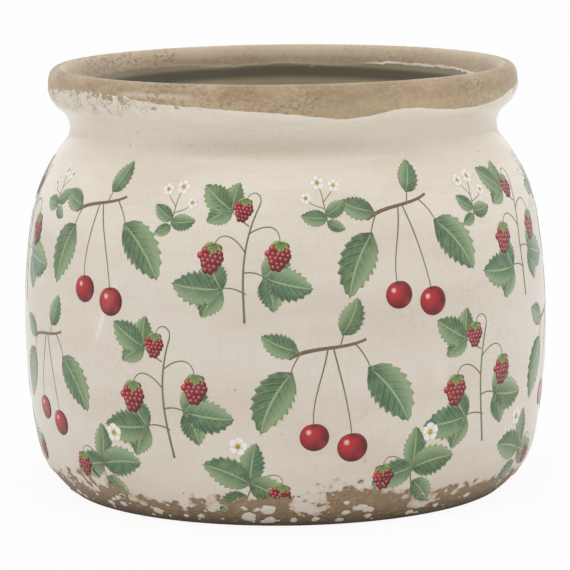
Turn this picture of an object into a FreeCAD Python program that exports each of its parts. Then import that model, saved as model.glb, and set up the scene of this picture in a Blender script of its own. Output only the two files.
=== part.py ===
"""Round-bellied ceramic cachepot: a turned clay pot with a rolled bare lip and a bare worn heel,
a glaze coat outside, a glaze coat inside, and the islands of glaze that are left on the heel.

Millimetres, +Z up. The origin is on the pot's axis, in the plane that the pot stands on.
"""

import FreeCAD
import Part

import math
import os
from collections import namedtuple

# Clay profile outside. Drops are measured down from the top of the lip, and insets in from the belly.
# The heel's tuck is how far the foot lies inside the belly's arc, if that ran on down to the ground.
pot_height = 161.0
body_radius = 99.5
belly_drop = 98.0
belly_arc = 247.0
shoulder_arc = 56.5
neck_inset = 18.65
neck_arc = 9.45
rim_inset = 10.25
rim_drop = 6.15
lip_arc = 11.45
crest_arc = 3.75
heel_arc = 30.4
heel_tuck = 7.8

# Clay profile inside and underneath
wall = 6.2
floor_thickness = 8.0
floor_cove = 10.0
foot_ring_width = 9.0
foot_recess = 2.5
recess_slope = 3.0

# Glaze coats. Each coat ends in an uneven line, a mean drop or height and a wave above and below it.
glaze_thickness = 0.5
rim_edge_drop = 9.5
rim_edge_wave = 3.3
inner_edge_drop = 6.9
inner_edge_wave = 1.0
heel_edge_height = 11.5
heel_edge_wave = 4.0

# Islands of glaze on the worn heel
fleck_count = 34
fleck_lowest = 2.2
fleck_highest = 4.8
fleck_half_width_small = 0.9
fleck_half_width_large = 2.3
fleck_flatness_share = 0.62

# How far every cutting body reaches past what it cuts
overrun = 5.0

# Height of each glaze line at even steps round the pot from +X, as shares of that line's wave
RIM_EDGE_SHARES = (
    -0.2, 0.2, -0.4, 0.2, 0.5, -0.2, -0.7, 0.0, 0.4, -0.3, 0.1, 0.4,
    0.3, 0.5, 0.9, 1.0, 0.55, 0.25, -0.2, -0.95, -0.1, -0.7, -0.6, -0.4,
)  # fmt: skip
HEEL_EDGE_SHARES = (
    -0.5, 0.2, 0.6, 0.1, -0.5, -0.1, 0.4, 0.7, 0.2, -0.4, 0.0, 0.3,
    -0.4, -0.7, 0.0, 0.2, -0.95, 0.1, 0.15, 0.9, -0.2, -0.3, -0.6, -0.85,
)  # fmt: skip
INNER_EDGE_SHARES = (
    0.2, -0.5, 0.6, 0.0, 0.8, -0.3, 0.4, -0.8, 0.1, 0.5, -0.2, 0.7,
    -0.4, 0.2, 0.9, -0.1, -0.6, 0.3, 0.0, 0.5, -0.7, 0.2, 0.4, -0.3,
)  # fmt: skip

AXIS_FOOT = FreeCAD.Vector(0, 0, 0)
UP = FreeCAD.Vector(0, 0, 1)
GOLDEN_SHARE = (math.sqrt(5) - 1) / 2


# Plane geometry. A profile point is (radius, height) and a normal points out of the clay.

def direction(start, end):
    """Unit direction from one profile point to another."""
    length = math.dist(start, end)
    return (end[0] - start[0]) / length, (end[1] - start[1]) / length


def moved(point, way, distance):
    """The point moved by a distance along a unit direction."""
    return point[0] + way[0] * distance, point[1] + way[1] * distance


def leg(hypotenuse, other_leg):
    """Third side of a right-angled triangle."""
    return math.sqrt(hypotenuse**2 - other_leg**2)


def circles_meet(centre_a, radius_a, centre_b, radius_b):
    """The point common to two circles that lies on the left of the way from centre_a to centre_b."""
    way = direction(centre_a, centre_b)
    distance = math.dist(centre_a, centre_b)
    reach = (radius_a**2 - radius_b**2 + distance**2) / (2 * distance)
    on_way = moved(centre_a, way, reach)
    return moved(on_way, (-way[1], way[0]), leg(radius_a, reach))


def common_tangent_normal(upper_centre, upper_radius, lower_centre, lower_radius):
    """Normal, towards the axis, of the line that touches both circles on their axis side."""
    down = direction(upper_centre, lower_centre)
    along = (upper_radius - lower_radius) / math.dist(upper_centre, lower_centre)
    across = leg(1, along)
    return down[0] * along + down[1] * across, down[1] * along - down[0] * across


# An arc of the profile between two normals. side is 1 where the clay bulges and -1 where it is hollow.
Arc = namedtuple("Arc", "centre radius side start_normal end_normal")


def arc_point(arc, normal, offset):
    """The arc's point with that normal, on the profile moved out of the clay by offset."""
    return moved(arc.centre, normal, arc.side * arc.radius + offset)


def start_point(arc, offset):
    return arc_point(arc, arc.start_normal, offset)


def end_point(arc, offset):
    return arc_point(arc, arc.end_normal, offset)


def in_space(point):
    """A profile point in the XZ plane."""
    return FreeCAD.Vector(point[0], 0, point[1])


def arc_edge(arc, offset):
    halfway = direction((0, 0), [sum(pair) for pair in zip(arc.start_normal, arc.end_normal)])
    points = start_point(arc, offset), arc_point(arc, halfway, offset), end_point(arc, offset)
    return Part.Arc(*map(in_space, points)).toShape()


def arc_edges(arcs, offset):
    return [arc_edge(arc, offset) for arc in arcs]


def line_edges(*points):
    """Straight edges from each profile point to the next."""
    ends = [in_space(point) for point in points]
    return [Part.LineSegment(start, end).toShape() for start, end in zip(ends, ends[1:])]


def turned(edges):
    """The solid that a closed profile sweeps round the axis."""
    outline = Part.Wire(Part.sortEdges(edges)[0])
    return Part.Face(outline).revolve(AXIS_FOOT, UP, 360)


# Arc centres of the profile, each tangent to its neighbours
belly_centre = (body_radius - belly_arc, pot_height - belly_drop)
rim_radius = body_radius - rim_inset
rim_height = pot_height - rim_drop
lip_centre = (rim_radius - lip_arc, rim_height)
crest_rise = rim_drop - crest_arc
crest_centre = (lip_centre[0] + leg(lip_arc - crest_arc, crest_rise), rim_height + crest_rise)
neck_radius = body_radius - neck_inset
neck_centre_radius = neck_radius + neck_arc
neck_drop = leg(lip_arc + neck_arc, neck_centre_radius - lip_centre[0])
neck_centre = (neck_centre_radius, rim_height - neck_drop)
shoulder_centre = circles_meet(
    neck_centre, shoulder_arc + neck_arc, belly_centre, belly_arc - shoulder_arc
)
foot_radius = belly_centre[0] + leg(belly_arc, belly_centre[1]) - heel_tuck
foot_edge = (foot_radius, 0)
heel_centre = circles_meet(belly_centre, belly_arc - heel_arc, foot_edge, heel_arc)
cove_height = floor_thickness + floor_cove
cove_swing = leg(heel_arc - wall - floor_cove, heel_centre[1] - cove_height)
cove_centre = (heel_centre[0] + cove_swing, cove_height)

# Normals where the arcs meet, outside and then inside
foot_normal = direction(heel_centre, foot_edge)
heel_to_belly = direction(belly_centre, heel_centre)
belly_to_shoulder = direction(belly_centre, shoulder_centre)
shoulder_to_neck = direction(shoulder_centre, neck_centre)
neck_to_lip = direction(lip_centre, neck_centre)
lip_to_crest = direction(lip_centre, crest_centre)
mouth_normal = common_tangent_normal(crest_centre, crest_arc, neck_centre, neck_arc + wall)
neck_to_shoulder = direction(neck_centre, shoulder_centre)
shoulder_to_belly = direction(shoulder_centre, belly_centre)
belly_to_heel = direction(heel_centre, belly_centre)
heel_to_cove = direction(cove_centre, heel_centre)
floor_normal = (0, 1)

HEEL = Arc(heel_centre, heel_arc, 1, foot_normal, heel_to_belly)
OUTSIDE = [
    HEEL,
    Arc(belly_centre, belly_arc, 1, heel_to_belly, belly_to_shoulder),
    Arc(shoulder_centre, shoulder_arc, 1, belly_to_shoulder, shoulder_to_neck),
    Arc(neck_centre, neck_arc, -1, shoulder_to_neck, neck_to_lip),
    Arc(lip_centre, lip_arc, 1, neck_to_lip, lip_to_crest),
]
CREST = Arc(crest_centre, crest_arc, 1, lip_to_crest, mouth_normal)
INSIDE = [
    Arc(neck_centre, neck_arc + wall, 1, mouth_normal, neck_to_shoulder),
    Arc(shoulder_centre, shoulder_arc - wall, -1, neck_to_shoulder, shoulder_to_belly),
    Arc(belly_centre, belly_arc - wall, -1, shoulder_to_belly, belly_to_heel),
    Arc(heel_centre, heel_arc - wall, -1, belly_to_heel, heel_to_cove),
    Arc(cove_centre, floor_cove, -1, heel_to_cove, floor_normal),
]


def mouth_to_axis(offset):
    """Edges down the inside, from the lip's crest to the middle of the floor."""
    middle = (0, floor_thickness + offset)
    return (
        line_edges(end_point(CREST, offset), start_point(INSIDE[0], offset))
        + arc_edges(INSIDE, offset)
        + line_edges(end_point(INSIDE[-1], offset), middle)
    )


# Clay pot: wall, floor and foot ring in one turned piece

def clay_body():
    ring_inner_radius = foot_radius - foot_ring_width
    under_foot = line_edges(
        (0, floor_thickness),
        (0, foot_recess),
        (ring_inner_radius - recess_slope, foot_recess),
        (ring_inner_radius, 0),
        foot_edge,
    )
    return turned(arc_edges(OUTSIDE + [CREST], 0) + mouth_to_axis(0) + under_foot)


# Glaze coats: a skin of even thickness on the clay, cut along uneven lines

def coat(arcs):
    """Glaze on a run of outside arcs."""
    first, last = arcs[0], arcs[-1]
    return turned(
        arc_edges(arcs, 0)
        + line_edges(end_point(last, 0), end_point(last, glaze_thickness))
        + arc_edges(arcs, glaze_thickness)
        + line_edges(start_point(first, glaze_thickness), start_point(first, 0))
    )


def uneven_loop(radius, mean_height, wave, shares):
    """Closed smooth curve round the axis, at a height that wavers about its mean."""
    points = []
    for step, share in enumerate(shares):
        turn = 2 * math.pi * step / len(shares)
        height = mean_height + wave * share
        points.append(FreeCAD.Vector(radius * math.cos(turn), radius * math.sin(turn), height))
    curve = Part.BSplineCurve()
    curve.interpolate(Points=points, PeriodicFlag=True)
    return curve.toShape()


def uneven_ring(small_radius, large_radius, mean_height, wave, shares, reach):
    """Cutting ring from an uneven line to above it, or below it where reach is negative."""
    loops = [uneven_loop(radius, mean_height, wave, shares) for radius in (small_radius, large_radius)]
    return Part.makeRuledSurface(*loops).extrude(UP * reach)


def outer_glaze():
    above_rim_line = uneven_ring(
        neck_radius - overrun,
        rim_radius + overrun,
        pot_height - rim_edge_drop,
        rim_edge_wave,
        RIM_EDGE_SHARES,
        rim_edge_drop + rim_edge_wave + overrun,
    )
    below_heel_line = uneven_ring(
        foot_radius - overrun,
        body_radius + overrun,
        heel_edge_height,
        heel_edge_wave,
        HEEL_EDGE_SHARES,
        -(heel_edge_height + heel_edge_wave + overrun),
    )
    return coat(OUTSIDE).cut(above_rim_line).cut(below_heel_line)


def inner_glaze():
    crest_side = line_edges(end_point(CREST, 0), end_point(CREST, glaze_thickness))
    middle = line_edges((0, floor_thickness), (0, floor_thickness + glaze_thickness))
    full = turned(mouth_to_axis(0) + mouth_to_axis(glaze_thickness) + crest_side + middle)
    above_inner_line = uneven_ring(
        neck_radius - wall - overrun,
        rim_radius,
        pot_height - inner_edge_drop,
        inner_edge_wave,
        INNER_EDGE_SHARES,
        inner_edge_drop + inner_edge_wave + overrun,
    )
    return full.cut(above_inner_line)


def heel_glaze_flecks():
    """Oval islands of glaze, spread over the bare heel by golden-ratio steps."""
    heel_coat = coat([HEEL])
    flecks = []
    for number in range(fleck_count):
        turn = 360 * GOLDEN_SHARE * number
        height_share = math.sqrt(2) * number % 1
        size_share = math.sqrt(3) * number % 1
        height = fleck_lowest + (fleck_highest - fleck_lowest) * height_share
        half_width = fleck_half_width_small + (fleck_half_width_large - fleck_half_width_small) * size_share
        seat = (heel_centre[0] + leg(heel_arc, heel_centre[1] - height), height)
        outward = in_space(direction(heel_centre, seat))
        start = in_space(seat) - outward * overrun
        oval = Part.Ellipse(start, half_width, half_width * fleck_flatness_share)
        oval.Axis = outward
        oval.XAxis = FreeCAD.Vector(0, 1, 0)
        plug = Part.Face(Part.Wire(oval.toShape())).extrude(outward * (overrun + overrun))
        plug.rotate(AXIS_FOOT, UP, turn)
        flecks.extend(heel_coat.common(plug).Solids)
    return Part.makeCompound(flecks)


def main():
    os.makedirs("parts", exist_ok=True)
    for piece in (clay_body, outer_glaze, inner_glaze, heel_glaze_flecks):
        shape = piece()
        shape.exportStep(f"parts/{piece.__name__}.step")
        box = shape.optimalBoundingBox()
        print(
            f"{piece.__name__}: {len(shape.Solids)} solids, valid {shape.isValid()}, {shape.Volume:.0f} mm3,"
            f" {box.XLength:.1f} x {box.YLength:.1f} mm, height {box.ZMin:.1f} to {box.ZMax:.1f} mm"
        )


main()
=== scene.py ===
"""Looks of a round-bellied ceramic cachepot: bare clay, crackled glaze and printed fruit sprigs."""

import math

import bmesh
import bpy
import numpy as np
from mathutils import Euler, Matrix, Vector, noise


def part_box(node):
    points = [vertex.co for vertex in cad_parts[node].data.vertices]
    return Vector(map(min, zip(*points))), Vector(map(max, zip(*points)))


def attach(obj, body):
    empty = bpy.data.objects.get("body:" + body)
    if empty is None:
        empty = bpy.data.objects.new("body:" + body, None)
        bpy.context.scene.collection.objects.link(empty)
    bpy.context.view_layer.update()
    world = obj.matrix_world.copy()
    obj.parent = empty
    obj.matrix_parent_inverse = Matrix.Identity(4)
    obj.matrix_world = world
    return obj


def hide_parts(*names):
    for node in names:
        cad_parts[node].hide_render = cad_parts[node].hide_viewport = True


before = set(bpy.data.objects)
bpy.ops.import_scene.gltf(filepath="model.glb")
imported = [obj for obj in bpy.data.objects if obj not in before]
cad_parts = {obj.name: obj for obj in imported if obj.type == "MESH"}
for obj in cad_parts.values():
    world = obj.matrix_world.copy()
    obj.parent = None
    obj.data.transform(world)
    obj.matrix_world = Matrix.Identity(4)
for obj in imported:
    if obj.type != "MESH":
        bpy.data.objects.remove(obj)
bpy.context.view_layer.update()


# Clay pot. One turned piece of buff clay with its wall, floor, rolled lip and foot ring, fired once.
# The lip and the heel stay bare. They are rubbed with a brown stain and pitted where grit burnt out.

pot_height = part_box("clay_body")[1].z
body_radius = 0.0995
belly_drop = 0.098
belly_arc = 0.247
shoulder_arc = 0.0565
neck_inset = 0.01865
neck_arc = 0.00945
rim_inset = 0.01025
rim_drop = 0.00615
lip_arc = 0.01145
crest_arc = 0.00375
heel_arc = 0.0304
heel_tuck = 0.0078
clay_wall = 0.0062
floor_thickness = 0.008
floor_cove = 0.010
foot_ring_width = 0.009
foot_recess = 0.0025
recess_slope = 0.003


def heading(start, end):
    """Angle of the way from one profile point to another. A profile point is (radius, height)."""
    return math.atan2(end[1] - start[1], end[0] - start[0])


def away(point, angle, distance):
    return point[0] + distance * math.cos(angle), point[1] + distance * math.sin(angle)


def circles_meet(centre_a, radius_a, centre_b, radius_b):
    """The point common to two circles that lies on the left of the way from centre_a to centre_b."""
    distance = math.dist(centre_a, centre_b)
    swing = math.acos((radius_a**2 + distance**2 - radius_b**2) / (2 * radius_a * distance))
    return away(centre_a, heading(centre_a, centre_b) + swing, radius_a)


belly = (body_radius - belly_arc, pot_height - belly_drop)
lip = (body_radius - rim_inset - lip_arc, pot_height - rim_drop)
crest_rise = rim_drop - crest_arc
crest = away(lip, math.asin(crest_rise / (lip_arc - crest_arc)), lip_arc - crest_arc)
neck_radius = body_radius - neck_inset + neck_arc
neck = (neck_radius, lip[1] - math.sqrt((lip_arc + neck_arc) ** 2 - (neck_radius - lip[0]) ** 2))
shoulder = circles_meet(neck, shoulder_arc + neck_arc, belly, belly_arc - shoulder_arc)
foot_edge = (belly[0] + math.sqrt(belly_arc**2 - belly[1] ** 2) - heel_tuck, 0)
heel = circles_meet(belly, belly_arc - heel_arc, foot_edge, heel_arc)
cove_height = floor_thickness + floor_cove
cove_reach = heel_arc - clay_wall - floor_cove
cove = away(heel, -math.asin((heel[1] - cove_height) / cove_reach), cove_reach)
mouth_slope = math.acos((crest_arc - neck_arc - clay_wall) / math.dist(crest, neck))
mouth = heading(crest, neck) - mouth_slope

# Arcs from the foot up, over the lip and down to the floor: centre, radius and the two end normals.
# A radius is negative where the clay is hollow.
wall_arcs = [
    (heel, heel_arc, heading(heel, foot_edge), heading(belly, heel)),
    (belly, belly_arc, heading(belly, heel), heading(belly, shoulder)),
    (shoulder, shoulder_arc, heading(belly, shoulder), heading(shoulder, neck)),
    (neck, -neck_arc, heading(shoulder, neck), heading(lip, neck)),
    (lip, lip_arc, heading(lip, neck), heading(lip, crest)),
    (crest, crest_arc, heading(lip, crest), mouth),
    (neck, neck_arc + clay_wall, mouth, heading(neck, shoulder)),
    (shoulder, clay_wall - shoulder_arc, heading(neck, shoulder), heading(shoulder, belly)),
    (belly, clay_wall - belly_arc, heading(shoulder, belly), heading(heel, belly)),
    (heel, clay_wall - heel_arc, heading(heel, belly), heading(cove, heel)),
    (cove, -floor_cove, heading(cove, heel), math.pi / 2),
]


def wall_profile(arcs, spacing=0.0003):
    """Rows of radius, height and the two parts of the normal along the arcs."""
    rows = []
    for centre, radius, start, end in arcs:
        turn = (end - start + math.pi) % (2 * math.pi) - math.pi
        steps = max(2, math.ceil(abs(radius * turn) / spacing))
        for normal in start + turn * np.linspace(0, 1, steps):
            rows.append((*away(centre, normal, radius), math.cos(normal), math.sin(normal)))
    return rows


ring_inside = foot_edge[0] - foot_ring_width
underside = [
    (0, foot_recess, 0, -1),
    (ring_inside - recess_slope, foot_recess, 0, -1),
    (ring_inside, 0, 0, -1),
]
profile = np.array(underside + wall_profile(wall_arcs) + [(0, floor_thickness, 0, 1)])
lengths = np.concatenate([[0], np.cumsum(np.hypot(*np.diff(profile[:, :2], axis=0).T))])
top_row = int(np.argmax(profile[:, 1]))
foot_row = len(underside)


def outside_at(height):
    """Length along the profile to a height on the outside."""
    return float(np.interp(height, profile[foot_row:top_row, 1], lengths[foot_row:top_row]))


def inside_at(height):
    """Length along the profile to a height on the inside."""
    return float(np.interp(-height, -profile[top_row:, 1], lengths[top_row:]))


def rows_between(start, end, spacing, columns):
    """Rows of a net round the pot, each a length along the profile and a number of columns."""
    count = max(1, round((end - start) / spacing))
    return [(length, columns) for length in np.linspace(start, end, count, endpoint=False)]


def net_round_pot(rows):
    """Angle and length of every point of a net round the pot, and its faces."""
    points, starts, faces = [], [], []
    for length, columns in rows:
        starts.append(len(points))
        points.extend((angle, length) for angle in np.linspace(0, 2 * math.pi, columns + 1))
    for low, high, (_, below), (_, above) in zip(starts, starts[1:], rows, rows[1:]):
        cells = min(below, above)
        wide_below, wide_above = below // cells, above // cells
        for cell in range(cells):
            bottom = range(low + cell * wide_below, low + (cell + 1) * wide_below + 1)
            top = range(high + cell * wide_above, high + (cell + 1) * wide_above + 1)
            faces.append((*bottom, *reversed(top)))
    return np.array(points), faces


def on_wall(points, lift):
    """Places of (angle, length) points that stand out of the bare clay by lift."""
    angle, length = points.T
    radius, height, out, up = (np.interp(length, lengths, column) for column in profile.T)
    radius = radius + out * lift
    return np.column_stack([radius * np.cos(angle), radius * np.sin(angle), height + up * lift])


def piece_of_mesh(name, places, faces, marks=None, body="root"):
    """A smooth closed piece that rides on the pot. Marks are three numbers a point for its shader."""
    mesh = bpy.data.meshes.new(name)
    mesh.from_pydata(places.tolist(), [], faces)
    if marks is not None:
        layer = mesh.attributes.new("mark", "FLOAT_VECTOR", "POINT")
        layer.data.foreach_set("vector", np.ascontiguousarray(marks, dtype=np.float32).ravel())
    shape = bmesh.new()
    shape.from_mesh(mesh)
    bmesh.ops.remove_doubles(shape, verts=shape.verts, dist=1e-7)
    bmesh.ops.recalc_face_normals(shape, faces=shape.faces)
    shape.to_mesh(mesh)
    shape.free()
    mesh.shade_smooth()
    piece = bpy.data.objects.new(name, mesh)
    bpy.context.scene.collection.objects.link(piece)
    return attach(piece, body)


def spots(point, size):
    """Distance to the nearest of spots about that far apart, and that spot's own chance, -1 to 1."""
    distances, seats = noise.voronoi(point / size)
    return distances[0] * size, noise.cell(seats[0] * 37)


def ragged(point, size):
    return noise.noise(point / size) + 0.5 * noise.noise(point / size * 2.3)


grain_depth = 0.00007
pit_spacing, pit_radius, pit_depth = 0.0038, 0.0008, 0.00025


def clay_relief(place):
    """How deep a place on the bare clay lies under the turned surface: grain and burnt-out grit."""
    point = Vector(place)
    distance, chance = spots(point, pit_spacing)
    reach = pit_radius * max(0, chance - 0.45) / 0.55
    pit = pit_depth * max(0, 1 - (distance / reach) ** 2) if reach > 0 else 0
    return -grain_depth * (1 + 0.66 * ragged(point, 0.0028)) - pit


fine_columns, coarse_columns = 720, 180
fine_step, coarse_step = 0.0008, 0.0045
bare_heel_top, bare_lip_bottom, bare_mouth_bottom = 0.026, 0.146, 0.151
clay_rows = (
    rows_between(0, lengths[foot_row], coarse_step, coarse_columns)
    + rows_between(lengths[foot_row], outside_at(bare_heel_top), fine_step, fine_columns)
    + rows_between(outside_at(bare_heel_top), outside_at(bare_lip_bottom), coarse_step, coarse_columns)
    + rows_between(outside_at(bare_lip_bottom), inside_at(bare_mouth_bottom), fine_step, fine_columns)
    + rows_between(inside_at(bare_mouth_bottom), lengths[-1], coarse_step, coarse_columns)
    + [(lengths[-1], coarse_columns)]
)
clay_points, clay_faces = net_round_pot(clay_rows)
turned_places = on_wall(clay_points, 0)
relief = np.array([clay_relief(place) for place in turned_places])
relief[clay_points[:, 1] <= lengths[foot_row]] = 0
clay = piece_of_mesh("clay_pot", on_wall(clay_points, relief), clay_faces)


def paint(red, green, blue):
    """A colour as it looks on a screen, from 0 to 255, for a shader."""
    shares = [part / 255 for part in (red, green, blue)]
    return *[s / 12.92 if s < 0.04045 else ((s + 0.055) / 1.055) ** 2.4 for s in shares], 1


def new_finish(name):
    material = bpy.data.materials.new(name)
    material.use_nodes = True
    return material, material.node_tree, material.node_tree.nodes["Principled BSDF"]


def dress(piece, material, colour):
    """Give a piece its finish, coloured by a node's output."""
    tree = material.node_tree
    tree.links.new(colour, tree.nodes["Principled BSDF"].inputs["Base Color"])
    piece.data.materials.append(material)


def node(tree, kind, sockets, **settings):
    """A shader node's outputs. Each socket is given a value or another node's output."""
    made = tree.nodes.new("ShaderNode" + kind)
    for name, value in settings.items():
        setattr(made, name, value)
    for name, value in sockets.items():
        if isinstance(value, bpy.types.NodeSocket):
            tree.links.new(value, made.inputs[name])
        else:
            made.inputs[name].default_value = value
    return made.outputs


def marks_of(tree):
    """The three numbers that each point of the piece was given for its shader."""
    mark = node(tree, "Attribute", {}, attribute_name="mark")["Vector"]
    return node(tree, "SeparateXYZ", {"Vector": mark})


def mixed(tree, share, under, over):
    """The colour over laid on the colour under by a share."""
    return node(tree, "Mix", {0: share, 6: under, 7: over}, data_type="RGBA")[2]


def graded(tree, value, low, high, start=0.0, end=1.0):
    """The value's run from low to high turned into a run from start to end."""
    sockets = {"Value": value, "From Min": low, "From Max": high, "To Min": start, "To Max": end}
    return node(tree, "MapRange", sockets, interpolation_type="SMOOTHSTEP")[0]


def worked(tree, operation, first, second=0.0):
    return node(tree, "Math", {0: first, 1: second}, operation=operation)[0]


def times(tree, first, second):
    return worked(tree, "MULTIPLY", first, second)


def cloudy(tree, place, scale, detail=4.0, roughness=0.55):
    sockets = {"Vector": place, "Scale": scale, "Detail": detail, "Roughness": roughness}
    return node(tree, "TexNoise", sockets)[0]


def stretched(tree, place, scale):
    return node(tree, "Mapping", {"Vector": place, "Scale": scale})[0]


def facing(tree, place, degrees, radius):
    """How squarely a place lies to one side of the pot. It is 1 right on that side, at that radius."""
    way = (math.cos(math.radians(degrees)) / radius, math.sin(math.radians(degrees)) / radius, 0)
    return node(tree, "VectorMath", {0: place, 1: way}, operation="DOT_PRODUCT")["Value"]


clay_finish, tree, shader = new_finish("bare_clay")
place = node(tree, "TexCoord", {})["Object"]
_, behind, height = node(tree, "SeparateXYZ", {"Vector": place})
cloud = cloudy(tree, stretched(tree, place, (1, 1, 2.6)), 48, 6)
colour = mixed(tree, graded(tree, cloud, 0.36, 0.66), paint(164, 139, 110), paint(187, 165, 136))
rosy = cloudy(tree, stretched(tree, place, (1, 1, 2)), 34, 3)
colour = mixed(tree, graded(tree, rosy, 0.5, 0.72, 0, 0.45), colour, paint(174, 140, 110))
olive = cloudy(tree, stretched(tree, place, (1, 1, 3)), 21, 3)
colour = mixed(tree, graded(tree, olive, 0.52, 0.7, 0, 0.4), colour, paint(142, 126, 94))
flat = node(tree, "VectorMath", {0: place, 1: (1, 1, 0)}, operation="MULTIPLY")[0]
from_axis = node(tree, "VectorMath", {0: flat}, operation="LENGTH")["Value"]
inner_side = graded(tree, from_axis, 0.0852, 0.0838)
# Painted light: the top of the lip's inner side is lightened where light from above falls on it.
crest_light = times(tree, inner_side, graded(tree, height, 0.1550, 0.1592, 0.22, 0.6))
colour = mixed(tree, crest_light, colour, paint(214, 196, 168))
# Painted shade: the inner face of the lip at the back of the mouth is darkened.
mouth_shade = times(tree, inner_side, graded(tree, height, 0.1580, 0.1555, 0, 0.42))
mouth_shade = times(tree, mouth_shade, graded(tree, behind, 0.050, 0.076))
colour = mixed(tree, mouth_shade, colour, paint(112, 92, 68))
# Painted light: the underside of the lip's roll is lightened to stand in for light from below.
outer_side = graded(tree, from_axis, 0.0855, 0.0875)
roll_underlight = times(tree, outer_side, graded(tree, height, 0.1575, 0.1525, 0, 0.32))
colour = mixed(tree, roll_underlight, colour, paint(208, 186, 148))
# Painted highlight: a pale streak along the front left of the lip, where a lamp's reflection falls.
highlight_side, lip_radius = 238.5, 0.0885
lip_highlight = graded(tree, facing(tree, place, highlight_side, lip_radius), 0.984, 0.9985)
lip_highlight = times(tree, lip_highlight, graded(tree, height, 0.1548, 0.1562))
lip_highlight = times(tree, lip_highlight, graded(tree, height, 0.1580, 0.1567, 0, 0.5))
colour = mixed(tree, lip_highlight, colour, paint(226, 210, 190))
colour = mixed(tree, graded(tree, height, 0.040, 0.026, 0, 0.85), colour, paint(139, 115, 88))
colour = mixed(tree, graded(tree, height, 0.010, 0.0, 0, 0.6), colour, paint(84, 64, 47))
clusters = cloudy(tree, place, 30, 2)
mottled = graded(tree, height, 0.03, 0.14, 0.4, 1)
mottled = times(tree, graded(tree, clusters, 0.42, 0.60, 0.15, 0.6), mottled)
fine = cloudy(tree, stretched(tree, place, (1, 1, 1.5)), 520, 4)
colour = mixed(tree, graded(tree, fine, 0.50, 0.34, 0, 0.25), colour, paint(206, 186, 154))
mottle = times(tree, graded(tree, fine, 0.48, 0.68), mottled)
colour = mixed(tree, mottle, colour, paint(132, 104, 76))
specks = node(tree, "TexVoronoi", {"Vector": place, "Scale": 640, "Randomness": 1})["Distance"]
speckled = graded(tree, clusters, 0.47, 0.62, 0.1, 0.8)
speckled = times(tree, graded(tree, specks, 0.30, 0.10), speckled)
colour = mixed(tree, speckled, colour, paint(112, 88, 62))
shader.inputs["Roughness"].default_value = 0.42
grain = cloudy(tree, place, 600, 3)
dents = worked(tree, "SUBTRACT", grain, speckled)
bump = node(tree, "Bump", {"Height": dents, "Strength": 0.4, "Distance": 0.0002})[0]
tree.links.new(bump, shader.inputs["Normal"])
dress(clay, clay_finish, colour)
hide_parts("clay_body")


# Outer glaze. A cream crackle glaze, poured over the pot, wiped off the lip and fired. It ends in a
# wavering line under the lip, crumbles on the left and a little on the right, and is worn ragged above
# the heel.

glaze_thickness = 0.0004
rim_edge_drop = 0.0095
rim_edge_wave = 0.0033
heel_edge_height = 0.0115
heel_edge_wave = 0.004
RIM_EDGE_SHARES = (
    0.7, 0.3, -0.4, 0.2, 0.5, -0.2, -0.7, 0.0, 0.4, -0.3, 0.1, 0.4,
    0.3, 0.5, 0.9, 1.0, 0.55, 0.25, -0.2, -0.95, -0.1, -0.7, -0.6, 0.3,
)  # fmt: skip
HEEL_EDGE_SHARES = (
    -0.5, 0.2, 0.6, 0.1, -0.5, -0.1, 0.4, 0.7, 0.2, -0.4, 0.0, 0.3,
    -0.4, -0.7, 0.0, 0.2, -0.95, 0.1, 0.15, 0.9, -0.2, -0.3, -0.6, -0.85,
)  # fmt: skip
crumbly_left, crumbly_right = math.radians(212), math.radians(348)
crumbly_rise, crumbly_band = 0.0014, 0.006
lump_size, lumps_lost, lost_depth = 0.0022, 0.30, 0.0035
wear_reach, wear_pit_spacing = 0.014, 0.0034
scraped_side, scrape_width = math.radians(214), 0.0024
island_spacing, fleck_spacing = 0.0041, 0.0024
island_top, island_bottom = 0.016, 0.0014
heel_radius = 0.092
# Islands left on the front of the heel: degrees round the pot, then height of the middle, half-width
# and half-height in millimetres
LARGE_ISLANDS = (
    (227, 4.6, 1.6, 1.1), (232, 8.2, 2.7, 1.4), (237.5, 4.2, 2.4, 1.6), (245.5, 6.0, 1.3, 1.0),
    (249, 3.6, 1.5, 1.0), (253, 9.0, 3.2, 2.0), (260.7, 4.2, 2.7, 1.9), (265.5, 7.4, 2.8, 1.9),
    (265.8, 2.9, 2.2, 1.4), (271.5, 2.8, 1.4, 1.1), (275.3, 9.6, 7.0, 4.8), (276.5, 3.0, 1.5, 1.0),
    (283.5, 9.6, 1.5, 1.0), (287, 7.0, 2.7, 1.2), (289.5, 3.0, 1.5, 1.0), (303, 7.0, 6.5, 3.0),
    (318, 5.5, 1.6, 1.0),
)  # fmt: skip


def wavering(angle, shares):
    """A closed line's share of its wave at an angle, smooth between the given shares."""
    step = angle / (2 * math.pi) * len(shares)
    first = math.floor(step)
    a, b, c, d = (shares[(first + offset) % len(shares)] for offset in (-1, 0, 1, 2))
    t = step - first
    return b + t / 2 * (c - a + t * (2 * a - 5 * b + 4 * c - d + t * (3 * (b - c) + d - a)))


def lumps(point, size):
    """Distance to the gap between lumps of about that size, and the lump's own chance, 0 to 1."""
    distances, seats = noise.voronoi(point / size)
    return (distances[1] - distances[0]) * size / 2, 0.5 + 0.5 * noise.cell(seats[0] * 37)


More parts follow.
